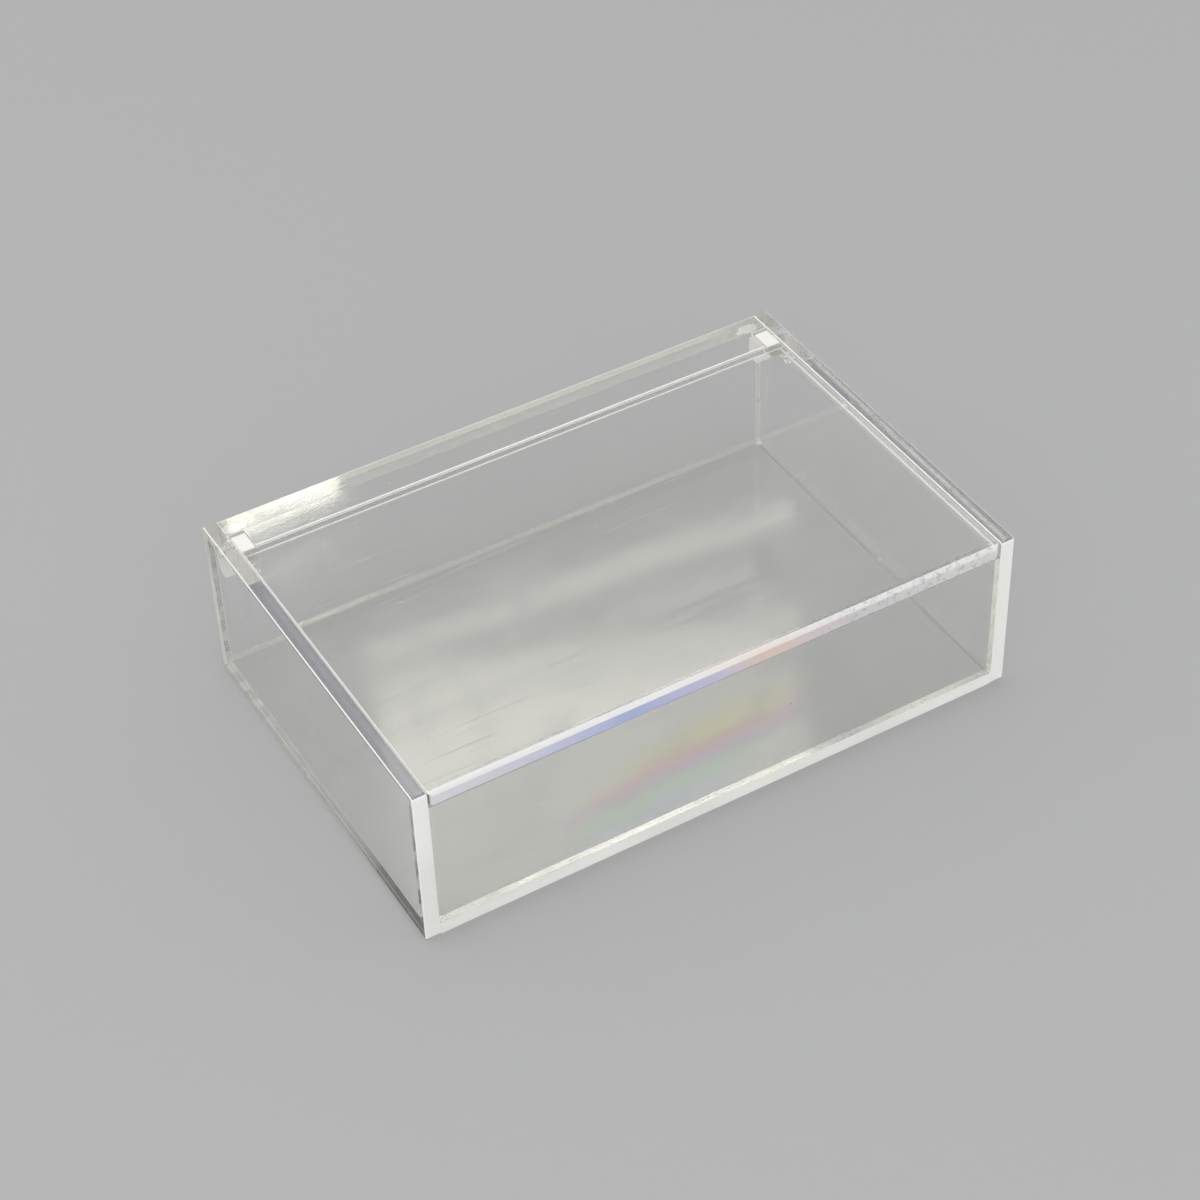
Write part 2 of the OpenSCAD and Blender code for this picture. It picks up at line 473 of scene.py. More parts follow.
def handling_marks():
    """What handling leaves on a clear face: smudges, hairlines, dust and a slight waviness.

    Smudges are broad noise kept where it is high. Dust is a dot at some of a cell pattern's
    centres.
    """
    group, given = new_group("handling_marks", Clean=0.01, Smudged=0.1, Waviness=0.02)
    spot = object_spot(group)
    broad = noise(group, spot, 38.0, 4.0, 0.62, 0.7)
    fine = noise(group, spot, 260.0, 3.0, 0.6)
    smudge = maths(group, "MULTIPLY", ramp_between(group, broad, 0.5, 0.72),
                   ramp_between(group, fine, 0.3, 0.62, 0.45, 1.0))
    first = streaks(group, spot, (0.4, 0.3, 0.9), 32.0, 950.0, 0.705)
    second = streaks(group, spot, (0.2, 0.9, -0.5), 45.0, 1300.0, 0.72)
    hairline = maths(group, "MAXIMUM", first, second)
    cells = place(group, "ShaderNodeTexVoronoi", Vector=spot, Scale=260.0).outputs
    dot = ramp_between(group, cells["Distance"], 0.05, 0.025)
    lot = place(group, "ShaderNodeSeparateColor", Color=cells["Color"]).outputs[0]
    dust = maths(group, "MULTIPLY", dot, maths(group, "GREATER_THAN", lot, 0.86))
    range_of = maths(group, "SUBTRACT", given["Smudged"], given["Clean"])
    smudged = maths(group, "MULTIPLY_ADD", smudge, range_of, given["Clean"])
    scratched = maths(group, "MULTIPLY_ADD", hairline, 0.12, smudged)
    dusty = maths(group, "MULTIPLY_ADD", dust, 0.55, scratched, clamp=True)
    cut = maths(group, "MULTIPLY", hairline, -0.002)
    raised = maths(group, "MULTIPLY_ADD", dust, 0.02, cut)
    height = maths(group, "MULTIPLY_ADD", noise(group, spot, 26.0, 1.0), given["Waviness"],
                   raised)
    return close_group(group, Roughness=dusty, Height=height, Smudge=smudge)


def saw_marks():
    """Marks that a saw leaves across an edge.

    A wave runs along the sum of the coordinates, so that it crosses an edge of any direction
    on a slant, and noise breaks its lines. Patch is slow noise, for stretches that were sawn
    more or less finely.
    """
    group, given = new_group("saw_marks", Spacing=0.0006, Depth=0.01, Break_up=0.5)
    spot = object_spot(group)
    patch = ramp_between(group, noise(group, spot, 24.0), 0.36, 0.6)
    axes = place(group, "ShaderNodeSeparateXYZ", Vector=spot).outputs
    run = maths(group, "ADD", axes["X"], maths(group, "ADD", axes["Y"], axes["Z"]))
    wander = noise(group, spot, 420.0, 3.0, 0.65)
    turns = maths(group, "DIVIDE", run, given["Spacing"])
    phase = maths(group, "MULTIPLY_ADD", wander, 3.2, turns)
    wave = maths(group, "SINE", maths(group, "MULTIPLY", phase, 2 * math.pi))
    line = maths(group, "MULTIPLY", wave, ramp_between(group, wander, 0.35, 0.65))
    mixed = maths(group, "MULTIPLY_ADD", noise(group, spot, 2600.0, 2.0, 0.7),
                  given["Break up"], line)
    return close_group(group, Height=maths(group, "MULTIPLY", mixed, given["Depth"]),
                       Tone=ramp_between(group, mixed, -0.8, 1.3), Patch=patch)


def cement_film():
    """The film of cement in a joint: small bubbles at the centres of a cell pattern, in the
    stretches where the cement ran thin."""
    group, given = new_group("cement_film", Bubble_size=0.3)
    spot = object_spot(group)
    cells = place(group, "ShaderNodeTexVoronoi", Vector=spot, Scale=900.0).outputs
    bubble = ramp_between(group, cells["Distance"], given["Bubble size"], 0.1)
    mask = maths(group, "MULTIPLY", bubble,
                 ramp_between(group, noise(group, spot, 90.0, 3.0), 0.48, 0.62))
    return close_group(group, Height=maths(group, "MULTIPLY", mask, -0.05), Mask=mask)


# Finishes. Each function returns the finish's shader and what it leaves of the light of a lamp
# that shines through it.

ACRYLIC_INDEX = 1.49
THROUGH_FACE = (0.96, 0.96, 0.955)
THROUGH_SAWN = (0.6, 0.6, 0.58)
THROUGH_POLISHED = (0.8, 0.8, 0.82)
THROUGH_LID_FRONT = (0.7, 0.7, 0.72)
THROUGH_BUBBLE = (0.8, 0.8, 0.8)
# Painted light: a faint oval of rainbow fringe colours painted into the front wall's tint. Its
# centre, reach, turn and colours follow.
PAINTED_FRINGE_CENTRE = (-8 * MM, 0.0, 14 * MM)
PAINTED_FRINGE_REACH = (33 * MM, 1.0, 13 * MM)
PAINTED_FRINGE_TURN = (0.0, math.radians(-12), 0.0)
PAINTED_FRINGE_TINTS = ((0.1, (0.87, 0.92, 0.99)), (0.34, (0.84, 0.98, 0.82)),
                (0.5, (0.88, 0.78, 0.98)), (0.64, (0.99, 0.79, 0.82)),
                (0.82, (0.98, 0.96, 0.76)))
# Painted light: lilac, blue and orange fringes painted along the lid's front edge, then plain
# greys for its frosted right part.
LID_FRONT_PAINTED_FRINGES = ((0.0, (0.93, 0.93, 0.97)), (0.16, (0.80, 0.80, 0.97)),
                   (0.34, (0.46, 0.56, 0.99)), (0.48, (0.70, 0.68, 0.97)),
                   (0.57, (0.97, 0.74, 0.60)), (0.66, (0.88, 0.76, 0.82)),
                   (0.76, (0.86, 0.86, 0.87)), (1.0, (0.90, 0.90, 0.89)))
# Painted highlight: the lid's nose is painted near white on the left, with an orange fringe in
# the middle, then grey where it is frosted.
LID_NOSE_PAINTED_HIGHLIGHT = ((0.0, (0.98, 0.98, 0.99)), (0.4, (0.95, 0.95, 0.97)),
                  (0.55, (0.97, 0.88, 0.83)), (0.72, (0.92, 0.92, 0.92)),
                  (1.0, (0.93, 0.93, 0.92)))
SCUFFED = (0.6, 0.6, 0.61)


def bare_material(name):
    """A material with an empty node tree."""
    made = bpy.data.materials.new(name)
    made.use_nodes = True
    made.node_tree.nodes.clear()
    return made, made.node_tree


def glass(tree, clear=1.0, **inputs):
    """A Principled shader set up as acrylic, of which a share is clear and the rest white."""
    made = place(tree, "ShaderNodeBsdfPrincipled", IOR=ACRYLIC_INDEX)
    made.inputs["Transmission Weight"].default_value = clear
    for key, value in inputs.items():
        feed(tree, made.inputs[key.replace("_", " ")], value)
    return made


def clear_face(tree, look, tint=None):
    """The factory face of the sheet, clear, with handling marks."""
    marks = use_group(tree, handling_marks, Clean=look.face_roughness,
                      Smudged=look.smudge_roughness, Waviness=0.03)
    film = maths(tree, "MULTIPLY", marks["Smudge"], look.smudge_film)
    return glass(tree, Base_Color=tint or tuple(look.sheet), Coat_Weight=film,
                 Coat_Roughness=0.35, Roughness=marks["Roughness"],
                 Normal=relief(tree, marks["Height"])), THROUGH_FACE


def front_wall_face(tree, look):
    """The front wall's faces, with a faint oval of rainbow colours painted into the sheet's tint:
    painted light that stands in for the fringes that strain in the sheet shows in the light.
    """
    spot = object_spot(tree)
    oval = place(tree, "ShaderNodeMapping", {"vector_type": "TEXTURE"}, Vector=spot,
                 Location=PAINTED_FRINGE_CENTRE, Rotation=PAINTED_FRINGE_TURN, Scale=PAINTED_FRINGE_REACH).outputs[0]
    axes = place(tree, "ShaderNodeSeparateXYZ", Vector=oval).outputs
    level = maths(tree, "MULTIPLY_ADD", noise(tree, spot, 55.0, 1.0), 0.9, axes["Z"])
    across = maths(tree, "MULTIPLY_ADD", axes["X"], 0.3, maths(tree, "SUBTRACT", level, 0.45))
    flat = place(tree, "ShaderNodeCombineXYZ", X=axes["X"], Z=axes["Z"]).outputs[0]
    away = place(tree, "ShaderNodeVectorMath", {"operation": "LENGTH"}, Vector=flat)
    inside = ramp_between(tree, away.outputs["Value"], 1.05, 0.35)
    hue = colour_stops(tree, ramp_between(tree, across, -1.0, 1.0), PAINTED_FRINGE_TINTS)
    return clear_face(tree, look, colour_between(tree, inside, tuple(look.sheet), hue))


def sawn_edge(tree, look, tone="edge", clear=0.12, depth=0.012, break_up=0.8, dull=0.85):
    """A sawn edge: white and satin, with saw marks across it and duller stretches along it."""
    marks = use_group(tree, saw_marks, Spacing=0.0006, Depth=depth, Break_up=break_up)
    base = Vector(getattr(look, tone))
    bright = maths(tree, "MULTIPLY_ADD", marks["Patch"], 0.55,
                   maths(tree, "MULTIPLY", marks["Tone"], 0.45))
    tint = colour_between(tree, bright, tuple(base * dull), tuple(base))
    rough = ramp_between(tree, marks["Tone"], 0.0, 1.0, look.edge_roughness - 0.1,
                         look.edge_roughness + 0.15)
    return glass(tree, clear, Base_Color=tint, Roughness=rough,
                 Normal=relief(tree, marks["Height"], 0.7)), THROUGH_SAWN


def polished_edge(tree, look):
    """An edge polished after sawing: clear, with a faint tint and what is left of the marks."""
    saw = use_group(tree, saw_marks, Spacing=0.0009, Depth=0.0003, Break_up=0.2)
    marks = use_group(tree, handling_marks, Clean=0.03, Smudged=0.16, Waviness=0.012)
    height = maths(tree, "ADD", saw["Height"], marks["Height"])
    return glass(tree, Base_Color=tuple(look.polished), Roughness=marks["Roughness"],
                 Normal=relief(tree, height)), THROUGH_POLISHED


def cement_joint(tree, look, haze=0.0, relief_share=0.4):
    """The face of a sheet inside a cemented joint, clear but for the bubbles in the cement,
    or hazy where the sheet was sawn and not polished before it was cemented."""
    film = use_group(tree, cement_film, Bubble_size=0.3)
    rough = ramp_between(tree, film["Mask"], 0.0, 1.0, 0.04 + haze, 0.3)
    return glass(tree, 1.0 - haze, Base_Color=tuple(look.sheet), Roughness=rough,
                 Normal=relief(tree, film["Height"], relief_share)), THROUGH_FACE


def lid_front_edge(tree, look, stops=LID_FRONT_PAINTED_FRINGES, clear=0.5):
    """The lid's polished front edge. Along the box its colour carries painted light, pale lilac,
    blue and orange fringes painted into its tint, and it ends in a bare frosted third on the
    right."""
    low, high = corners_of("lid_panel")
    spot = object_spot(tree)
    along = place(tree, "ShaderNodeSeparateXYZ", Vector=spot).outputs["X"]
    part = ramp_between(tree, along, float(low[0]), float(high[0]), kind="LINEAR")
    saw = use_group(tree, saw_marks, Spacing=0.00065, Depth=0.014, Break_up=0.5)
    frosted = ramp_between(tree, part, 0.62, 0.76)
    scuff = ramp_between(tree, noise(tree, spot, 950.0, 3.0, 0.7), 0.47, 0.66)
    tint = colour_between(tree, maths(tree, "MULTIPLY", frosted, scuff),
                          colour_stops(tree, part, stops), SCUFFED)
    height = maths(tree, "MULTIPLY", saw["Height"],
                   maths(tree, "MULTIPLY_ADD", frosted, 0.9, 0.1))
    return glass(tree, clear, Base_Color=tint, Normal=relief(tree, height),
                 Roughness=maths(tree, "MULTIPLY_ADD", frosted, 0.34, 0.1)), THROUGH_LID_FRONT


def trapped_air(tree, look):
    """A bubble in the cement: its index is that of air seen from inside acrylic."""
    return glass(tree, Base_Color=(1.0, 1.0, 1.0), Roughness=0.05,
                 IOR=1 / ACRYLIC_INDEX), THROUGH_BUBBLE


FINISHES = {
    "clear_face": clear_face,
    "front_wall_face": front_wall_face,
    "polished_edge": polished_edge,
    "lid_front_edge": lid_front_edge,
    # The nose's colours hold a painted highlight and a painted fringe.
    "lid_nose": partial(lid_front_edge, stops=LID_NOSE_PAINTED_HIGHLIGHT, clear=0.25),
    "sawn_edge": sawn_edge,
    # Painted warm light: the rear-facing sawn edges take the cream tone, the base's rear edge
    # more faintly.
    "warm_edge": partial(sawn_edge, tone="warm_edge", clear=0.3),
    "faint_edge": partial(sawn_edge, tone="warm_edge", clear=0.65),
    "eased_arris": partial(sawn_edge, clear=0.1, dull=0.94),
    "joint_line": partial(sawn_edge, clear=0.35, depth=0.001, break_up=0.2),
    "drilled": partial(sawn_edge, clear=0.4),
    "pin_face": partial(sawn_edge, clear=0.6),
    "hinge_edge": partial(sawn_edge, tone="hinge", clear=0.06, depth=0.02, dull=0.95),
    "lug_face": partial(sawn_edge, tone="hinge", clear=0.08, depth=0.02, dull=0.93),
    "white_cement": partial(sawn_edge, tone="hinge", clear=0.05, dull=0.95),
    "cement_joint": cement_joint,
    "cement_haze": partial(cement_joint, haze=0.22, relief_share=0.12),
    "cement_bead": partial(cement_joint, haze=0.15),
    "trapped_air": trapped_air,
}


def acrylic(finish):
    """The material of a finish, made when it is first asked for. A lamp's shadow ray and the
    light from a matt surface go straight through the acrylic, tinted, so that light reaches
    the inside of the box and the floor under it."""
    made = bpy.data.materials.get(finish)
    if made:
        return made
    made, tree = bare_material(finish)
    shader, through = FINISHES[finish](tree, bpy.context.scene.acrylic_box.look)
    clear = place(tree, "ShaderNodeBsdfTransparent", Color=through)
    path = place(tree, "ShaderNodeLightPath")
    surface = shader.outputs[0]
    for ray in ("Is Diffuse Ray", "Is Shadow Ray"):
        surface = mixed_shader(tree, path.outputs[ray], surface, clear.outputs[0])
    place(tree, "ShaderNodeOutputMaterial", Surface=surface)
    return made


def mixed_shader(tree, part, first, second):
    """A Mix Shader's result."""
    mix = place(tree, "ShaderNodeMixShader", Fac=part)
    tree.links.new(first, mix.inputs[1])
    tree.links.new(second, mix.inputs[2])
    return mix.outputs[0]


# Pieces

def rectangle(low, high, radii, steps=2, first=1, second=2):
    """The outline of a box seen along one axis: along X, unless told otherwise, from its lower
    front corner."""
    left, right, under, over = low[first], high[first], low[second], high[second]
    corners = [(left, under), (right, under), (right, over), (left, over)]
    return rounded_outline(corners, radii, steps)


def pin_radius():
    """The radius of a hinge pin."""
    low, high = corners_of("left_hinge_pin")
    return (high[2] - low[2]) / 2


class ACRYLICBOX_OT_base(bpy.types.Operator):
    """Makes the base: a sheet between the side walls, sawn and bevelled at front and rear"""
    bl_idname = "acrylic_box.base"
    bl_label = "Base"
    bl_options = {"REGISTER", "UNDO"}

    def execute(self, context):
        sheets = context.scene.acrylic_box.sheets
        low, high = corners_of("base_panel")
        outline = rectangle(low, high, [sheets.bevel, sheets.bevel, 0.0, 0.0])
        joint = sheets.joint_eased
        sides = [Side(finish, joint, joint, "joint_line")
                 for finish in ("clear_face", "faint_edge", "clear_face", "sawn_edge")]
        cut_sheet("base_sheet", "base_panel", outline, low[0] - sheets.weld,
                  high[0] + sheets.weld, sides, "cement_joint")
        return {"FINISHED"}


class ACRYLICBOX_OT_front_and_back(bpy.types.Operator):
    """Makes the front and back walls, which stand on the base between the side walls"""
    bl_idname = "acrylic_box.front_and_back"
    bl_label = "Front and back walls"
    bl_options = {"REGISTER", "UNDO"}

    def execute(self, context):
        sheets = context.scene.acrylic_box.sheets
        joint = sheets.joint_eased
        for name, node, top_move, outer_top, top_finish, face in (
                ("front_sheet", "front_wall", -sheets.rest_film, sheets.bevel,
                 "polished_edge", "front_wall_face"),
                ("back_sheet", "back_wall", sheets.weld, joint, "cement_haze",
                 "clear_face")):
            low, high = corners_of(node)
            low[2] -= sheets.weld
            high[2] += top_move
            outline = rectangle(low, high, [joint, joint, joint, outer_top])
            sides = [Side(finish, joint, joint, "joint_line")
                     for finish in ("cement_joint", face, top_finish, face)]
            cut_sheet(name, node, outline, low[0] - sheets.weld, high[0] + sheets.weld, sides,
                      "cement_joint")
        return {"FINISHED"}


class ACRYLICBOX_OT_side_walls(bpy.types.Operator):
    """Makes the two side walls, with polished tops, sawn fronts and a drilled hole each"""
    bl_idname = "acrylic_box.side_walls"
    bl_label = "Side walls"
    bl_options = {"REGISTER", "UNDO"}

    def execute(self, context):
        settings = context.scene.acrylic_box
        sheets, hinge = settings.sheets, settings.hinge
        eased, joint, foot = sheets.eased, sheets.joint_eased, sheets.foot_eased
        bore = (HINGE_AXIS[1:], pin_radius() + hinge.pin_glue, hinge.round_steps)
        for name, node, outer_first in (("left_side_sheet", "left_wall", 1),
                                        ("right_side_sheet", "right_wall", -1)):
            low, high = corners_of(node)
            outline = rectangle(low, high, sheets.wall_corner, sheets.arc_steps)
            low_high = (eased, joint)[::outer_first]
            sides = [Side("polished_edge", *(foot, joint)[::outer_first], "warm_edge"),
                     Side("warm_edge", *low_high, "eased_arris"),
                     Side("polished_edge", eased, eased, "eased_arris"),
                     Side("sawn_edge", *low_high, "eased_arris")]
            cut_sheet(name, node, outline, low[0], high[0], sides, "clear_face", bore=bore)
        return {"FINISHED"}


class ACRYLICBOX_OT_rear_strip(bpy.types.Operator):
    """Makes the fixed strip along the rear, with a notch at each end for the hinge lugs"""
    bl_idname = "acrylic_box.rear_strip"
    bl_label = "Rear strip"
    bl_options = {"REGISTER", "UNDO"}

    def execute(self, context):
        settings = context.scene.acrylic_box
        sheets, hinge = settings.sheets, settings.hinge
        low, high = corners_of("rear_strip")
        lug_low = corners_of("right_hinge_lug")[0]
        lid_high = corners_of("lid_panel")[1]
        tail_rear = lid_high[1] + hinge.tail - HINGE_AXIS[1]
        swing = math.hypot(tail_rear, high[2] - HINGE_AXIS[2])
        notch_y = HINGE_AXIS[1] + swing + hinge.notch_rear
        notch_x = lug_low[0] - hinge.notch_side
        end_x = high[0] + sheets.weld
        corners = [(-end_x, notch_y), (-notch_x, notch_y), (-notch_x, low[1]),
                   (notch_x, low[1]), (notch_x, notch_y), (end_x, notch_y),
                   (end_x, high[1]), (-end_x, high[1])]
        joint, eased = sheets.joint_eased, sheets.eased
        outline = rounded_outline(corners, [0, 0, eased, eased, 0, 0, 0, 0], 2)
        sawn = Side("hinge_edge", joint, joint, "eased_arris")
        front = Side("polished_edge", eased, eased, "eased_arris")
        end = Side("cement_joint", joint, joint, "joint_line")
        rear = Side("warm_edge", joint, sheets.bevel, "eased_arris")
        cut_sheet("rear_strip_sheet", "rear_strip", outline, low[2], high[2],
                  [sawn, sawn, front, sawn, sawn, end, rear, end], "clear_face", axes=ALONG_Z)
        return {"FINISHED"}


class ACRYLICBOX_OT_lid(bpy.types.Operator):
    """Makes the lid, with a rounded nose, rounded front corners and eased edges"""
    bl_idname = "acrylic_box.lid"
    bl_label = "Lid"
    bl_options = {"REGISTER", "UNDO"}

    def execute(self, context):
        sheets = context.scene.acrylic_box.sheets
        low, high = corners_of("lid_panel")
        outline = rectangle(low, high, [sheets.lid_corner, sheets.lid_corner, 0, 0], 10, 0, 1)
        edge = Side("polished_edge", sheets.eased, sheets.eased, "eased_arris")
        front = Side("lid_front_edge", sheets.joint_eased, sheets.lid_nose, "lid_nose")
        cut_sheet("lid_sheet", "lid_panel", outline, low[2], high[2],
                  [front, edge, edge, edge], "clear_face", LID, ALONG_Z,
                  ease_steps=8)
        return {"FINISHED"}


class ACRYLICBOX_OT_hinge_lugs(bpy.types.Operator):
    """Makes the two hinge lugs, cemented to the lid's rear edge and underside"""
    bl_idname = "acrylic_box.hinge_lugs"
    bl_label = "Hinge lugs"
    bl_options = {"REGISTER", "UNDO"}

    def execute(self, context):
        settings = context.scene.acrylic_box
        sheets, hinge = settings.sheets, settings.hinge
        bore = (HINGE_AXIS[1:], pin_radius() + hinge.pin_running, hinge.round_steps)
        eased = sheets.eased / 2
        for name, node in (("left_lug_block", "left_hinge_lug"),
                           ("right_lug_block", "right_hinge_lug")):
            low, high = corners_of(node)
            outline = lug_outline(low, high, hinge, sheets)
            welded = [Side("cement_joint", 0.0, 0.0, "cement_joint")] * 2
            free = [Side("hinge_edge", eased, eased, "eased_arris")] * outline.corner.max()
            cut_sheet(name, node, outline, low[0], high[0], welded + free, "lug_face", LID,
                      bore=bore)
        return {"FINISHED"}


def lug_outline(low, high, hinge, sheets):
    """A lug seen along X, anticlockwise from where its foot starts under the lid.

    Its rounded lower end is an arc about a point one radius inside its rear and its lowest
    edges. The sloping front meets the arc as a tangent: from the front corner, the tangent
    leaves the line to the arc's centre by the angle whose sine is the radius over the distance.
    """
    lid_low, lid_high = corners_of("lid_panel")
    radius = hinge.end_radius
    under = lid_low[2] + sheets.weld
    rear = lid_high[1] - sheets.weld
    centre = np.array([high[1] - radius, low[2] + radius])
    front_corner = np.array([low[1], lid_low[2]])
    away = front_corner - centre
    first = math.atan2(away[1], away[0]) + math.acos(radius / np.linalg.norm(away))
    turn = np.linspace(first, 2 * math.pi, 49)
    arc = centre + radius * np.stack([np.cos(turn), np.sin(turn)], 1)
    tail_rear = lid_high[1] + hinge.tail
    shoulder = lid_low[2] - hinge.strip_gap
    corners = np.concatenate([
        [(rear, high[2]), (rear, under), (low[1], under), front_corner], arc,
        [(high[1], shoulder), (tail_rear, shoulder), (tail_rear, high[2])]])
    return rounded_outline(corners, 0.0, 1)


class ACRYLICBOX_OT_hinge_pins(bpy.types.Operator):
    """Makes the two hinge pins, each glued in its side wall and turning in its lug"""
    bl_idname = "acrylic_box.hinge_pins"
    bl_label = "Hinge pins"
    bl_options = {"REGISTER", "UNDO"}

    def execute(self, context):
        settings = context.scene.acrylic_box
        around = circle(HINGE_AXIS[1:], pin_radius(), settings.hinge.round_steps)
        eased = settings.sheets.eased / 2
        sides = [Side("pin_face", eased, eased, "pin_face")] * len(around)
        for name, node in (("left_pin_rod", "left_hinge_pin"),
                           ("right_pin_rod", "right_hinge_pin")):
            low, high = corners_of(node)
            cut_sheet(name, node, rounded_outline(around, 0.0, 1), low[0], high[0], sides,
                      "pin_face")
        return {"FINISHED"}


def pebbles(name, centres, reaches, finish, rings=5, spokes=8, body=BOX):
    """A piece of many small closed ellipsoids riding on one body.

    A point on one is its centre plus, along each axis, its reach times the unit sphere's
    coordinate at an even grid of angles from pole to pole and round the axis.
    """
    centres = np.asarray(centres, float)
    reaches = np.broadcast_to(np.asarray(reaches, float), centres.shape)
    down = np.linspace(0, math.pi, rings + 1)[1:-1, None]
    around = np.linspace(0, 2 * math.pi, spokes, endpoint=False)[None, :]
    grid = np.stack([np.sin(down) * np.cos(around), np.sin(down) * np.sin(around),
                     -np.cos(down) + 0 * around], 2).reshape(-1, 3)
    unit = np.concatenate([grid, [(0, 0, -1), (0, 0, 1)]])
    points = centres[:, None] + reaches[:, None] * unit[None]
    quads = ring_faces(rings - 1, spokes)
    first = np.arange(spokes)
    following = (first + 1) % spokes
    last_ring = (rings - 2) * spokes
    low_fan = np.stack([following, first, np.full(spokes, len(grid))], 1)
    high_fan = np.stack([first + last_ring, following + last_ring,
                         np.full(spokes, len(grid) + 1)], 1)
    faces = [(each + offset).tolist() for offset in np.arange(len(centres)) * len(unit)
             for each in (*quads, *low_fan, *high_fan)]
    piece_from(name, points.reshape(-1, 3), faces, [finish] * len(faces), body)


# Beads of cement: where each sits from the rear right inner corner, and its reach, in mm
BEADS = (((-0.1, -0.1, 0.1), (0.9, 0.8, 0.7)), ((-0.05, -44.6, 0.05), (0.35, 0.6, 0.3)),
         ((-0.05, -27.0, 0.05), (0.25, 0.45, 0.25)), ((-0.05, -0.05, 11.0), (0.3, 0.3, 0.8)),
         ((-38.0, -0.05, 0.05), (0.7, 0.3, 0.25)))
# Blots of white cement under the strip's ends: how far in from the end and behind the back
# wall's inner face each sits, and its reach, in mm
BLOTS = (((1.6, 1.45), (1.5, 1.3)), ((3.0, 1.75), (1.3, 0.9)), ((4.3, 1.2), (0.9, 0.6)),
         ((2.4, 0.75), (1.2, 0.6)))
BLOT_THICKNESS = 0.008
DROP_GAPS = (0.75, 2.6)
DROP_REACH = (0.75, 0.8, 0.45)


class ACRYLICBOX_OT_cement_marks(bpy.types.Operator):
    """Makes the bubbles that the cement trapped in the joints, and the beads that it left"""
    bl_idname = "acrylic_box.cement_marks"
    bl_label = "Cement marks"
    bl_options = {"REGISTER", "UNDO"}

    def execute(self, context):
        weld = context.scene.acrylic_box.sheets.weld
        base_low, base_high = corners_of("base_panel")
        back_low, back_high = corners_of("back_wall")
        front_low, front_high = corners_of("front_wall")
        side_x = base_high[0] + weld / 2
        floor_z = base_high[2] - weld / 2
        seams = [(0, sign * side_x, low, high, count) for sign in (-1, 1)
                 for low, high, count in ((back_low, back_high, 34),
                                          (front_low, front_high, 14),
                                          (base_low, base_high, 22))]
        seams += [(2, floor_z, back_low, back_high, 26), (2, floor_z, front_low, front_high, 22)]
        rng = np.random.default_rng(11)
        bubbles = [joint_bubbles(rng, *seam) for seam in seams]
        pebbles("joint_bubbles", *(np.concatenate(each) for each in zip(*bubbles)),
                "trapped_air")
        corner = np.array([base_high[0], back_low[1], base_high[2]])
        pebbles("cement_beads", [corner + np.array(move) * MM for move, _ in BEADS],
                [np.array(reach) * MM for _, reach in BEADS], "cement_bead", 10, 16)
        strip_low, strip_high = corners_of("rear_strip")
        pebbles("white_cement_patches",
                [(sign * (strip_high[0] - aside * MM), back_low[1] + behind * MM,
                  strip_low[2] - weld / 2) for sign in (-1, 1) for (aside, behind), _ in BLOTS],
                [np.array([*reach, BLOT_THICKNESS]) * MM for _, reach in BLOTS] * 2,
                "white_cement", 8, 24)
        lug_low, lug_high = corners_of("right_hinge_lug")
        lid_under = corners_of("lid_panel")[0][2]
        pebbles("hinge_cement_drops",
                [(sign * (lug_high[0] - MM), lug_low[1] - gap * MM, lid_under)
                 for sign in (-1, 1) for gap in DROP_GAPS],
                np.array(DROP_REACH) * MM, "cement_bead", 10, 16, LID)
        return {"FINISHED"}


def joint_bubbles(rng, flat, level, low, high, count):
    """The centres and reaches of the bubbles in one joint: random points in the joint's
    rectangle, each drawn towards one of three clusters, and flattened across the joint."""
    keep = 0.5 * MM
    spots = rng.uniform(low + keep, high - keep, (count, 3))
    clusters = rng.uniform(low + keep, high - keep, (3, 3))
    near = clusters[rng.integers(0, 3, count)]
    centres = near + (spots - near) * rng.uniform(0.2, 1.0, (count, 1))
    centres[:, flat] = level
    reaches = rng.uniform(0.05, 0.15, (count, 1)) * MM * np.ones(3)
    reaches[:, flat] *= 0.35
    return centres, reaches


# Stage

Lamp = namedtuple("Lamp", "name place along width height tint")
LAMP_AIM = Vector((0.0, 0.0, 0.02))
WARM = (1.0, 0.95, 0.82)
LAMPS = {
    "front": Lamp("front_lamp", (-0.71, -1.33, 0.80), (1.33, -0.71, 0.0), 2.2, 1.4,
                  (1.0, 0.99, 0.97)),
    "fill": Lamp("fill_lamp", (-1.28, 0.77, 0.84), (0.77, 1.28, 0.0), 1.6, 1.4,
                 (1.0, 0.94, 0.82)),
    "side": Lamp("side_lamp", (1.45, -0.56, 0.74), (0.56, 1.45, 0.0), 1.6, 1.4,
                 (0.97, 0.98, 1.0)),
    "strip": Lamp("strip_lamp", (0.589, 1.700, 1.498), (0.109, -0.017, -0.018), 0.118, 0.030,
                  WARM),
    "base": Lamp("base_lamp", (0.760, 1.375, 1.655), (0.386, -0.164, -0.030), 0.42, 0.20,
                 WARM),
    "band": Lamp("band_lamp", (0.809, 1.497, 1.560), (0.425, -0.112, -0.074), 0.45, 0.022,
                 WARM),
}
FLOOR_HALF = 1.6
FLOOR_LEVEL = -0.06 * MM
FADE_START = 0.45
FADE_END = 1.5


class ACRYLICBOX_OT_stage(bpy.types.Operator):
    """Makes the pale floor, the soft lamps, the pale surroundings and the camera"""
    bl_idname = "acrylic_box.stage"
    bl_label = "Stage"
    bl_options = {"REGISTER", "UNDO"}

    def execute(self, context):
        scene = context.scene
        stage = scene.acrylic_box.stage
        make_floor(stage)
        make_surroundings(scene, stage)
        for power, lamp in LAMPS.items():
            soft_lamp(scene, lamp, getattr(stage, power))
        make_camera(scene, stage)
        scene.view_settings.view_transform = "Standard"
        scene.cycles.max_bounces = 40
        scene.cycles.transmission_bounces = 40
        scene.cycles.glossy_bounces = 24
        scene.cycles.transparent_max_bounces = 40
        return {"FINISHED"}


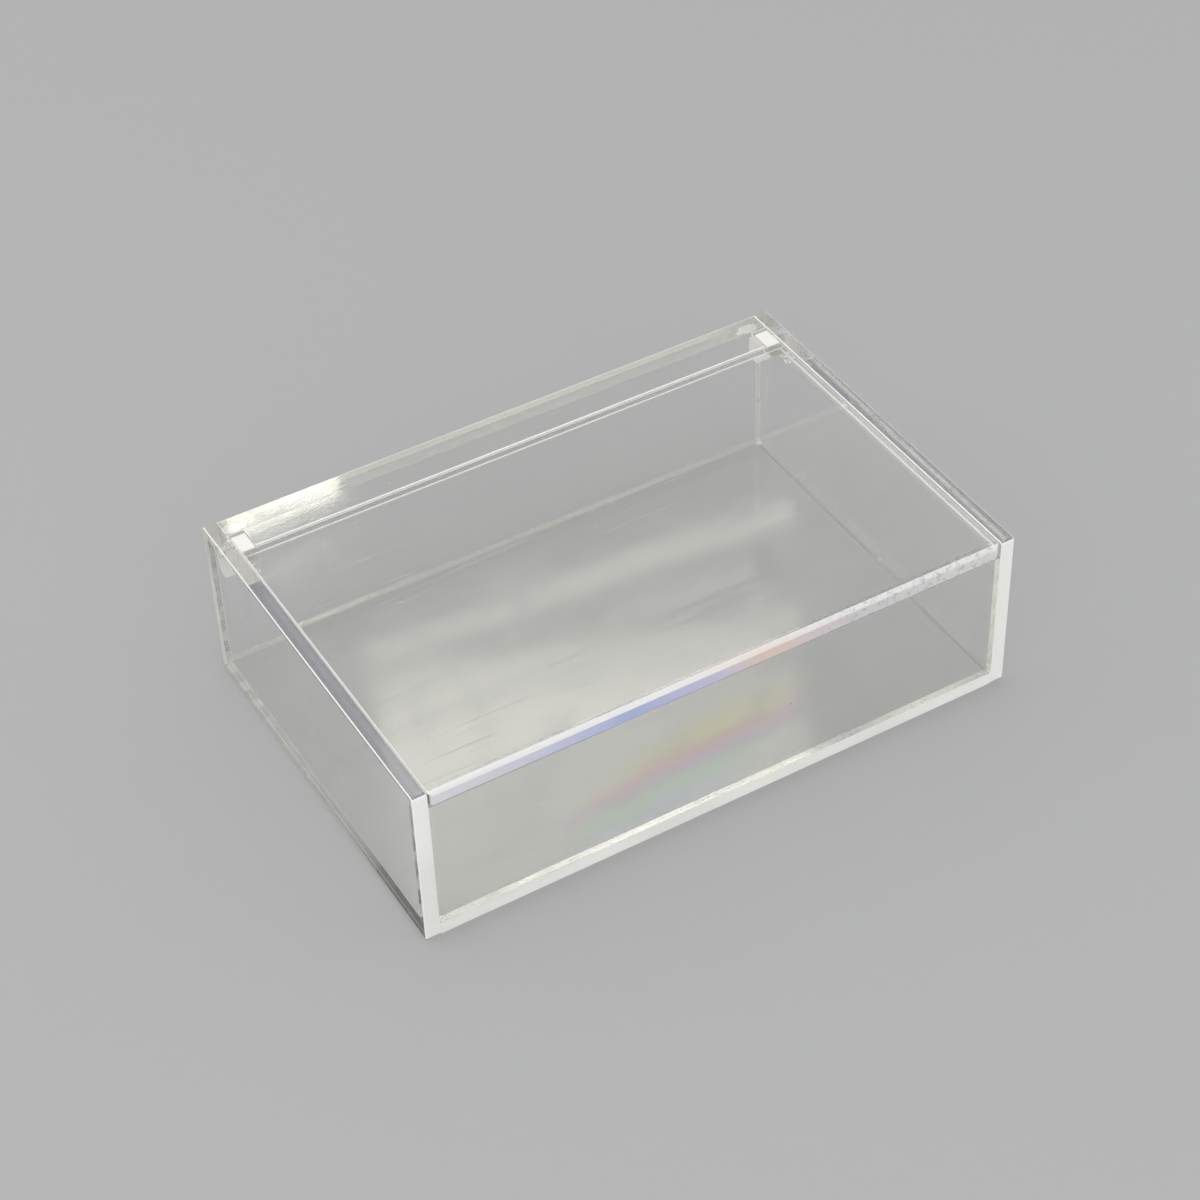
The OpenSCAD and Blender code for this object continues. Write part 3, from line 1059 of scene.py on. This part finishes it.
def make_floor(stage):
    """A flat floor just under the object: a grid of two by two points over a square. Far from
    the object it fades into the backdrop, so that its edge doesn't show."""
    x, y = np.meshgrid((-FLOOR_HALF, FLOOR_HALF), (-FLOOR_HALF, FLOOR_HALF))
    points = np.stack([x.ravel(), y.ravel(), np.full(x.size, FLOOR_LEVEL)], 1)
    floor = linked_mesh("floor", points, [(0, 1, 3, 2)])
    made, tree = bare_material("pale_floor")
    shader = place(tree, "ShaderNodeBsdfPrincipled", Base_Color=tuple(stage.floor),
                   Roughness=0.8, Specular_IOR_Level=0.1)
    away = place(tree, "ShaderNodeVectorMath", {"operation": "LENGTH"},
                 Vector=object_spot(tree)).outputs["Value"]
    glow = place(tree, "ShaderNodeEmission", Color=tuple(stage.backdrop), Strength=1.0)
    place(tree, "ShaderNodeOutputMaterial",
          Surface=mixed_shader(tree, ramp_between(tree, away, FADE_START, FADE_END),
                               shader.outputs[0], glow.outputs[0]))
    floor.data.materials.append(made)


def make_surroundings(scene, stage):
    """Pale surroundings: one colour for the camera, mirrors and glass, and an even light."""
    scene.world = bpy.data.worlds.new("surroundings")
    scene.world.use_nodes = True
    tree = scene.world.node_tree
    tree.nodes.clear()
    path = place(tree, "ShaderNodeLightPath").outputs
    seen = maths(tree, "MAXIMUM", path["Is Camera Ray"],
                 maths(tree, "MAXIMUM", path["Is Glossy Ray"], path["Is Transmission Ray"]))
    light = place(tree, "ShaderNodeBackground", Color=(1.0, 1.0, 1.0), Strength=stage.ambient)
    view = place(tree, "ShaderNodeBackground", Color=tuple(stage.backdrop), Strength=1.0)
    place(tree, "ShaderNodeOutputWorld",
          Surface=mixed_shader(tree, seen, light.outputs[0], view.outputs[0]))


def soft_lamp(scene, lamp, power):
    """A rectangular lamp that the camera itself doesn't see. It faces its aim, and its width
    lies as nearly along the given direction as that allows."""
    made = bpy.data.lights.new(lamp.name, "AREA")
    made.shape = "RECTANGLE"
    made.size = lamp.width
    made.size_y = lamp.height
    made.energy = power
    made.color = lamp.tint
    back = (Vector(lamp.place) - LAMP_AIM).normalized()
    along = Vector(lamp.along)
    along = (along - back * along.dot(back)).normalized()
    body = bpy.data.objects.new(lamp.name, made)
    body.matrix_world = turned_to(along, back.cross(along), back, Vector(lamp.place))
    body.visible_camera = False
    scene.collection.objects.link(body)


def turned_to(right, up, back, where):
    """The matrix that gives an object its three axes and its place."""
    turn = Matrix((right, up, back)).transposed().to_4x4()
    return Matrix.Translation(where) @ turn


def make_camera(scene, stage):
    """The camera: it looks at its aim from the azimuth, elevation and distance, and leans."""
    azimuth, elevation, roll = stage.azimuth, stage.elevation, stage.roll
    flat = Vector((math.cos(azimuth), -math.sin(azimuth), 0.0))
    ahead = Vector((math.sin(azimuth) * math.cos(elevation),
                    math.cos(azimuth) * math.cos(elevation), -math.sin(elevation)))
    upright = flat.cross(ahead)
    up = upright * math.cos(roll) + flat * math.sin(roll)
    right = flat * math.cos(roll) - upright * math.sin(roll)
    lens = bpy.data.cameras.new("camera")
    lens.sensor_width = 36.0
    lens.lens = stage.lens
    lens.clip_start = 0.01
    camera = bpy.data.objects.new("camera", lens)
    camera.matrix_world = turned_to(right, up, -ahead,
                                    Vector(stage.aim) - ahead * stage.distance)
    scene.collection.objects.link(camera)
    scene.camera = camera


class ACRYLICBOX_PT_panel(bpy.types.Panel):
    """Lists the box's operators in the sidebar"""
    bl_idname = "ACRYLICBOX_PT_panel"
    bl_label = "Acrylic Box"
    bl_space_type = "VIEW_3D"
    bl_region_type = "UI"
    bl_category = "Acrylic Box"

    def draw(self, context):
        for operator in OPERATORS:
            self.layout.operator(operator.bl_idname)


OPERATORS = (ACRYLICBOX_OT_base, ACRYLICBOX_OT_front_and_back, ACRYLICBOX_OT_side_walls,
             ACRYLICBOX_OT_rear_strip, ACRYLICBOX_OT_lid, ACRYLICBOX_OT_hinge_lugs,
             ACRYLICBOX_OT_hinge_pins, ACRYLICBOX_OT_cement_marks, ACRYLICBOX_OT_stage)
CLASSES = (SheetSizes, HingeSizes, AcrylicLook, StageSettings, AcrylicBoxSettings,
           *OPERATORS, ACRYLICBOX_PT_panel)


def register():
    for each in CLASSES:
        bpy.utils.register_class(each)
    bpy.types.Scene.acrylic_box = PointerProperty(type=AcrylicBoxSettings)


def unregister():
    del bpy.types.Scene.acrylic_box
    for each in reversed(CLASSES):
        bpy.utils.unregister_class(each)


def main():
    """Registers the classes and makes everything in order."""
    register()
    bpy.ops.acrylic_box.stage()
    bpy.ops.acrylic_box.base()
    bpy.ops.acrylic_box.front_and_back()
    bpy.ops.acrylic_box.side_walls()
    bpy.ops.acrylic_box.rear_strip()
    bpy.ops.acrylic_box.lid()
    bpy.ops.acrylic_box.hinge_lugs()
    bpy.ops.acrylic_box.hinge_pins()
    bpy.ops.acrylic_box.cement_marks()


if __name__ == "__main__":
    main()
